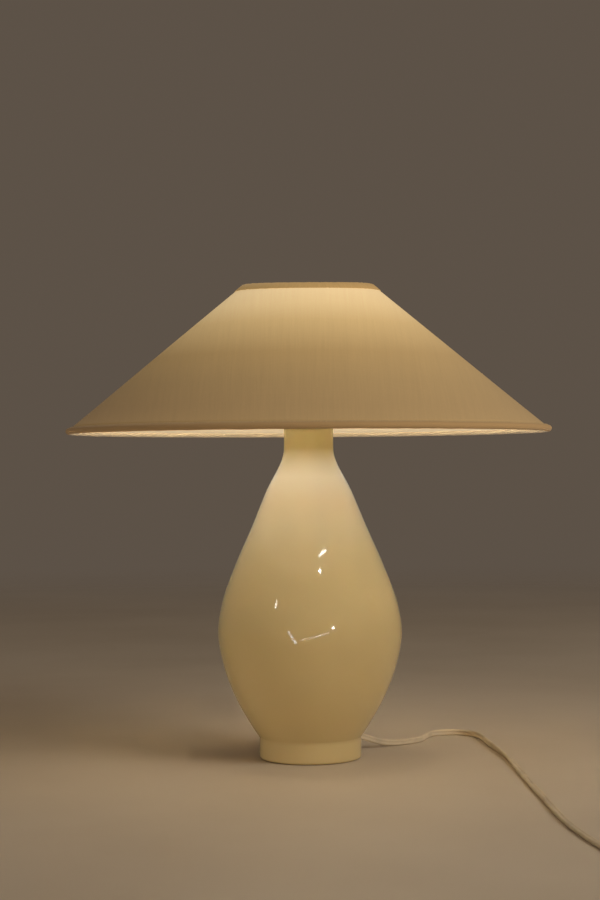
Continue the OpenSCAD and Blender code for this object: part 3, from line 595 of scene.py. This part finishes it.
def coil_points():
    """The wound flex: inwards on the table, a step up, then outwards on top."""
    steps = 28
    made = []
    for i in range(1, int(COIL_TURNS * steps)):
        t = i / steps
        r = COIL_START_R - COIL_STEP * min(t, COIL_DOWN_TURNS) + COIL_STEP * max(0, t - COIL_DOWN_TURNS)
        up = max(0.0, min(1.0, (t - COIL_DOWN_TURNS + 0.17) / 0.34))
        up = up * up * (3 - 2 * up)
        a = math.pi - 2 * math.pi * t
        made.append((COIL_AT[0] + r * math.cos(a), COIL_AT[1] + r * math.sin(a),
                     COIL_LOW + (COIL_HIGH - COIL_LOW) * up, 0))
    return made


def even(points, step):
    """The same line with its points a step apart."""
    made, left = [points[0]], step
    for a, b in zip(points, points[1:]):
        length = math.dist(a[:3], b[:3])
        at = left
        while at < length:
            made.append(tuple(p + (q - p) * at / length for p, q in zip(a, b)))
            at += step
        left = at - length
    return made + [points[-1]]


def relaxed(points, rounds, keep):
    """Eases the sharpest bends; the first and last few points stay."""
    for _ in range(rounds):
        points = points[:keep] + [
            tuple((p + 2 * q + r) / 4 for p, q, r in zip(points[i - 1], points[i], points[i + 1]))
            for i in range(keep, len(points) - keep)] + points[-keep:]
    return points


def flex_route():
    rough = catmull(LEAD, 10) + catmull(LINK, 10) + coil_points() + catmull(TAIL, 10)
    return [(x * MM, y * MM, z * MM, roll) for x, y, z, roll in relaxed(even(rough, 2.0), 12, 4)]


def twin_section():
    """Outline of a twin flex: two round cores side by side with a groove between."""
    core_r, core_at, waist = FLEX_T / 2, FLEX_W / 2 - FLEX_T / 2, 0.9 * MM
    upper = []
    for i in range(15):
        x = FLEX_W / 2 * math.cos(math.pi * i / 14)
        round_h = math.sqrt(max(0.0, core_r ** 2 - (abs(x) - core_at) ** 2))
        upper.append((x, max(round_h, waist) if abs(x) < core_at else round_h))
    return upper + [(x, -h) for x, h in reversed(upper[1:-1])]


def sweep(name, route, section, body, slot, replaces=()):
    verts, faces, uvs = [], [], []
    count, last, run = len(section), len(route) - 1, 0.0
    for i, (x, y, z, roll) in enumerate(route):
        here = Vector((x, y, z))
        ahead = (Vector(route[min(i + 1, last)][:3]) - Vector(route[max(i - 1, 0)][:3])).normalized()
        side = ahead.cross(Vector((0, 0, 1))).normalized()
        up = side.cross(ahead)
        roll = math.radians(roll)
        wide, thin = math.cos(roll) * side + math.sin(roll) * up, math.cos(roll) * up - math.sin(roll) * side
        if i:
            run += (here - Vector(route[i - 1][:3])).length
        for k, (a, b) in enumerate(section):
            verts.append(here + a * wide + b * thin)
            uvs.append((FLEX_W * 2 * k / count, run, FLEX_W * 2))
    for i in range(last):
        for k in range(count):
            n = (k + 1) % count
            faces.append((i * count + k, i * count + n, (i + 1) * count + n, (i + 1) * count + k))
    faces.append(tuple(range(count - 1, -1, -1)))
    faces.append(tuple(last * count + k for k in range(count)))
    return piece(name, verts, faces, body, slot, replaces, uvs)


def flex(shown):
    route = flex_route()
    line = [Vector(p[:3]) for p in route]
    length = sum((b - a).length for a, b in zip(line, line[1:]))
    own = ("cord_lead", "cord_link", "cord_coil", "cord_tail")
    cord = sweep("flex", route, twin_section(), "lamp", "flex_pvc", own)
    carried = [n for n in frame["record"]["physics"]["cord_nodes"] if n not in own]
    on_it = [shown.get(n, frame["nodes"][n]) for n in carried]
    on_it.append(shown["cord_grommet"])
    print(f"flex length {length:.4f}")


# ---------------------------------------------------------------- bulb
GLOBE_R, GLOBE_Z = 22.5 * MM, 357 * MM
BULB_WALL = 0.8 * MM
# How far the glass of the bulb's neck reaches under the globe's centre, and into the cap
NECK_DOWN, NECK_IN_CAP = 26 * MM, 12 * MM


def bulb():
    rim = GLOBE_Z - NECK_DOWN
    low = -math.acos(13 / 22.5)
    outline = [(10.6 * MM, rim - NECK_IN_CAP), (11.1 * MM, rim - NECK_IN_CAP), (11.1 * MM, rim),
               (12.2 * MM, rim + 1 * MM), (12.8 * MM, rim + 4 * MM)]
    for i in range(33):
        a = low + (math.pi / 2 - low) * i / 32
        outline.append((GLOBE_R * math.cos(a), GLOBE_Z + GLOBE_R * math.sin(a)))
    outline[-1] = (0.0, GLOBE_Z + GLOBE_R)
    inside = [(max(0.0, r - BULB_WALL), z - 0.5 * MM if z > GLOBE_Z else z)
              for r, z in reversed(outline[2:])]
    lathe("opal_globe", outline + inside, 96, "bulb", "bulb_opal", ["bulb_glass"])


# ---------------------------------------------------------------- hardware
EASED = {
    "neck_cap": 0.5, "cap_nut": 0.3, "holder_cap": 0.7, "holder_skirt": 0.35, "shade_ring_lower": 0.6,
    "shade_ring_upper": 0.6, "cord_grommet": 0.5, "foot_pad": 0.3, "holder_insert": 0.4, "coil_tie": 0.3,
    "switch_base": 1.0, "switch_cover": 1.2, "switch_rocker": 0.5, "plug_body": 1.6, "plug_pins": 0.35,
    "plug_sleeves": 0.15, "centre_contact": 0.15, "cord_grip": 0.3, "switch_reliefs": 0.5, "plug_relief": 0.5}


def hardware():
    return {node: eased(node, width) for node, width in EASED.items()}


# ---------------------------------------------------------------- stage and light
def add_light(name, kind, at, energy, color, **settings):
    data = bpy.data.lights.new(name, kind)
    data.energy, data.color = energy, color
    for key, value in settings.items():
        setattr(data, key, value)
    light = bpy.data.objects.new(name, data)
    light.location = at
    bpy.context.scene.collection.objects.link(light)
    return light


def aim(light, target, lean=0):
    turn = (Vector(target) - light.location).to_track_quat("-Z", "Y")
    light.rotation_euler = (turn @ Quaternion((0, 0, 1), math.radians(lean))).to_euler()


# Small lights that show only as reflections on the glass:
# name, place, width and height, lean, power, colour, spread
SPARKS = (
    ("spark_wide", (0.053, -0.144, 0.266), (0.034, 0.003), 0, 0.0008, (1.0, 0.97, 0.9), 34),
    ("spark_small", (0.041, -0.161, 0.246), (0.005, 0.003), 0, 0.0003, (1.0, 0.97, 0.9), 34),
    ("spark_left", (-1.10, -1.05, 0.80), (0.03, 0.16), 0, 0.45, (1.0, 0.97, 0.92), 180),
    ("spark_low", (0.164, -0.336, 0.160), (0.011, 0.011), 0, 0.04, (1.0, 0.97, 0.92), 180),
    ("streak", (-0.205, -0.55, 0.075), (0.016, 0.19), 30, 0.11, (0.85, 0.9, 1.0), 180),
    ("faint_line", (0.055, -0.545, 0.098), (0.34, 0.004), 15, 0.07, (0.9, 0.93, 1.0), 180))


def lights(glass):
    glow = add_light("bulb light", "POINT", (0, 0, GLOBE_Z), 8.5, (1.0, 0.8, 0.54), shadow_soft_size=0.0235)
    glow.visible_camera = False
    key = add_light("key", "AREA", (1.7, -1.1, 1.3), 22, (1.0, 0.88, 0.74), size=1.2)
    aim(key, (0, 0, 0.25))
    fill = add_light("fill", "AREA", (-1.3, -1.7, 0.2), 1.5, (1.0, 0.88, 0.74), size=0.8)
    aim(fill, (0, 0, 0.12))
    glass_fill = add_light("glass fill", "AREA", (-1.4, -1.4, 0.3), 7, (1.0, 0.86, 0.68), size=0.8)
    aim(glass_fill, (0, 0, 0.12))
    lit = bpy.data.collections.new("lit on its own")
    lit.objects.link(glass)
    glass_fill.light_linking.receiver_collection = lit
    for soft_light in (key, fill, glass_fill):
        soft_light.visible_glossy = False
    for name, at, (width, height), lean, energy, color, spread in SPARKS:
        spark = add_light(name, "AREA", at, energy, color, shape="RECTANGLE", size=width, size_y=height,
                          spread=math.radians(spread))
        aim(spark, (0, -0.06, 0.13), lean)
        spark.visible_camera = spark.visible_diffuse = False
        spark.light_linking.receiver_collection = lit


STUDIO, STUDIO_STRENGTH = linear(136, 121, 106), 0.44
FLOOR_R, FLOOR_RINGS, FLOOR_STEPS = 3.2, 24, 64
FLOOR_FADE = (0.9, 3.0)


def stage():
    world = bpy.data.worlds.new("studio")
    bpy.context.scene.world = world
    world.use_nodes = True
    world.node_tree.nodes["Background"].inputs["Color"].default_value = (*STUDIO, 1)
    world.node_tree.nodes["Background"].inputs["Strength"].default_value = STUDIO_STRENGTH
    radius, rings, steps = FLOOR_R, FLOOR_RINGS, FLOOR_STEPS
    verts = [(0, 0, 0)]
    for i in range(1, rings + 1):
        r = radius * (i / rings) ** 1.5
        verts += [(r * math.cos(2 * math.pi * k / steps), r * math.sin(2 * math.pi * k / steps), 0)
                  for k in range(steps)]
    faces = [(0, 1 + k, 1 + (k + 1) % steps) for k in range(steps)]
    for i in range(rings - 1):
        for k in range(steps):
            a, b = 1 + i * steps + k, 1 + i * steps + (k + 1) % steps
            faces.append((a, a + steps, b + steps, b))
    mesh = bpy.data.meshes.new("floor")
    mesh.from_pydata(verts, [], faces)
    floor = bpy.data.objects.new("floor", mesh)
    bpy.context.scene.collection.objects.link(floor)
    made = Shader("floor", linear(214, 202, 184), 0.6)
    made.set(made.bsdf, {"Base Color": made.ramp(made.noise(3, 4), (0.3, linear(208, 196, 178)),
                                                 (0.7, linear(220, 209, 192)))})
    out = made.tree.nodes["Material Output"]
    distance = made.node("VectorMath", {0: made.coords.outputs["Object"]},
                         operation="LENGTH").outputs["Value"]
    fade = made.node("MapRange", {"Value": distance, "From Min": FLOOR_FADE[0], "From Max": FLOOR_FADE[1]},
                     interpolation_type="SMOOTHSTEP").outputs[0]
    clear = made.node("BsdfTransparent")
    blend = made.node("MixShader", {0: fade, 1: made.bsdf.outputs[0], 2: clear.outputs[0]})
    made.tree.links.new(blend.outputs[0], out.inputs["Surface"])
    mesh.materials.append(made.material)


add_camera()
dress_cad_nodes()
flex(hardware())
glass = blown_glass()
shade()
bulb()
lights(glass)
stage()
bpy.context.scene.view_settings.view_transform = "Standard"
